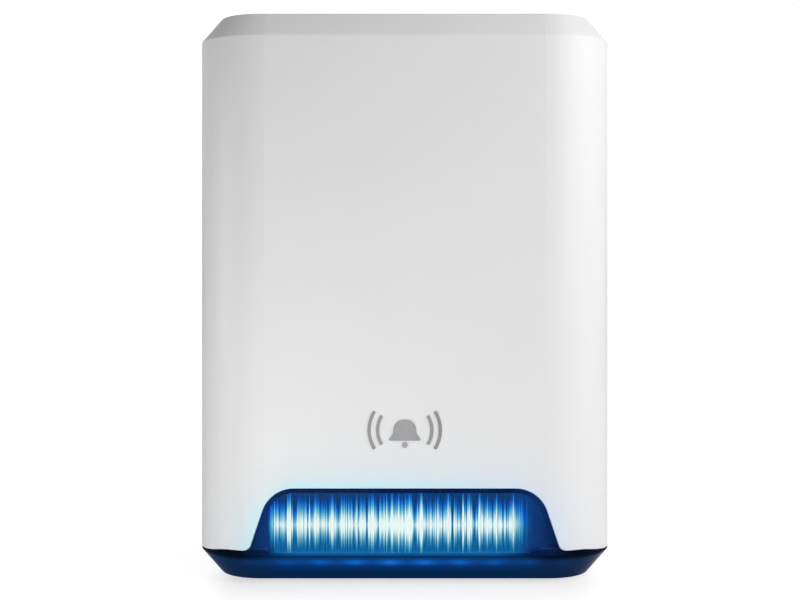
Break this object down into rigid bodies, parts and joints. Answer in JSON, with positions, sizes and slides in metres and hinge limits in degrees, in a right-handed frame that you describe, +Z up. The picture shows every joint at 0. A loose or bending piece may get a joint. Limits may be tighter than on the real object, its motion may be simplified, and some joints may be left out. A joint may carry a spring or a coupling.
{
  "type": "alarm siren",
  "caption": "Wall-mounted alarm siren: white casing with sloping edges, blue strobe window and lens tray below, cover hinged at the top over batteries, sounder and board.",
  "frame": {"origin": "centre of the four wall-fixing holes on the back face, which lies on the wall plane", "axes": "+Z up, the front faces -Y, +Y points into the wall, +X to the right seen from the front"},
  "size_m": [0.2, 0.0703, 0.271],
  "materials": {
    "casing": "satin UV-stable white ABS, fine texture",
    "lens": "glossy blue tinted polycarbonate",
    "seal": "matt foam rubber",
    "guide": "clear fluted light guide",
    "mark": "grey pad print",
    "plated": "bright zinc plating",
    "stainless": "stainless mesh",
    "plate": "moulded white ABS, matt",
    "rubber": "matt black rubber",
    "circuit": "green solder mask",
    "can": "tinned shield can",
    "copper_wire": "bare wound wire",
    "chip": "black moulded case",
    "winding": "lacquered windings",
    "capacitor": "dark sleeve on a can",
    "ceramic_parts": "tiny ceramic chips",
    "terminal": "green moulding",
    "connector": "ivory nylon",
    "led": "green light-emitting diode",
    "button": "black cap",
    "switch": "dark moulding",
    "spring_steel": "spring steel",
    "plunger": "red nylon",
    "holder": "black ABS",
    "cell": "printed sleeve on a metal can",
    "sounder": "black ABS",
    "brass": "rolled brass disc",
    "piezo": "silvered ceramic",
    "reflector": "bright white reflector",
    "lamp_board": "white solder mask",
    "lamp": "lamp with a phosphor dome",
    "red_lead": "red PVC",
    "black_lead": "black PVC"
  },
  "bodies": {
    "base": {"backplate": "plate", "cable_grommet": "rubber", "main_board": "circuit", "board_screws": "plated", "radio_module": "can", "antenna": "copper_wire", "processor": "chip", "power_coil": "winding", "capacitors": "capacitor", "small_components": "ceramic_parts", "terminal_block": "terminal", "terminal_screws": "plated", "lead_sockets": "connector", "lead_plugs": "connector", "status_light": "led", "button_switch": "switch", "tamper_switch": "switch", "wall_tamper_switch": "switch", "wall_tamper_spring": "spring_steel", "battery_holder": "holder", "battery_1": "cell", "battery_2": "cell", "battery_3": "cell", "battery_4": "cell", "battery_springs": "plated", "battery_plates": "plated", "holder_screws": "plated", "sounder_housing": "sounder", "sounder_gasket": "seal", "piezo_disc": "brass", "piezo_ceramic": "piezo", "sounder_horn": "sounder", "sounder_screws": "plated", "strobe_pillars": "plate", "strobe_reflector": "reflector", "strobe_board": "lamp_board", "strobe_lamps": "lamp", "strobe_screws": "plated", "battery_lead_red": "red_lead", "battery_lead_black": "black_lead", "sounder_lead_red": "red_lead", "sounder_lead_black": "black_lead", "strobe_lead_red": "red_lead", "strobe_lead_black": "black_lead"},
    "cover": {"front_cover": "casing", "strobe_lens": "lens", "lens_seal": "seal", "lens_diffuser": "guide", "lens_screws": "plated", "badge": "mark", "hinge_pins": "stainless", "sound_mesh": "stainless"},
    "cover_screw": {"cover_screw": "plated"},
    "screw_washer": {"screw_washer": "rubber"},
    "tamper_lever": {"tamper_lever": "spring_steel"},
    "wall_tamper_plunger": {"wall_tamper_plunger": "plunger"},
    "reset_button": {"reset_button": "button"}
  },
  "joints": [
    {"name": "cover_hinge", "type": "hinge", "parent": "base", "child": "cover", "pos_m": [0, -0.014, 0.1285], "axis": [-1, 0, 0], "range_deg": [0, 85]},
    {"name": "washer_slide", "type": "slide", "parent": "base", "child": "screw_washer", "axis": [0, 0, -1], "range_m": [0, 0.0021]},
    {"name": "cover_screw_turn", "type": "hinge", "parent": "screw_washer", "child": "cover_screw", "pos_m": [0, -0.012, -0.1355], "axis": [0, 0, -1], "range_deg": [0, 1080]},
    {"name": "tamper_lever_hinge", "type": "hinge", "parent": "base", "child": "tamper_lever", "pos_m": [0.0666, -0.0268, 0.004], "axis": [0, 0, -1], "range_deg": [0, 8.5]},
    {"name": "wall_tamper_slide", "type": "slide", "parent": "base", "child": "wall_tamper_plunger", "axis": [0, 1, 0], "range_m": [0, 0.0025], "stiffness_N_per_m": 200, "springref_m": 0.004, "deforming": ["wall_tamper_spring"]},
    {"name": "reset_button_slide", "type": "slide", "parent": "base", "child": "reset_button", "axis": [0, 1, 0], "range_m": [0, 0.0003], "stiffness_N_per_m": 400}
  ],
  "couplings": [
    {"joint": "cover_screw_turn", "follows": "washer_slide", "rad_per_m": 8975},
    {"joint": "tamper_lever_hinge", "follows": "cover_hinge", "ratio": 0.1}
  ]
}
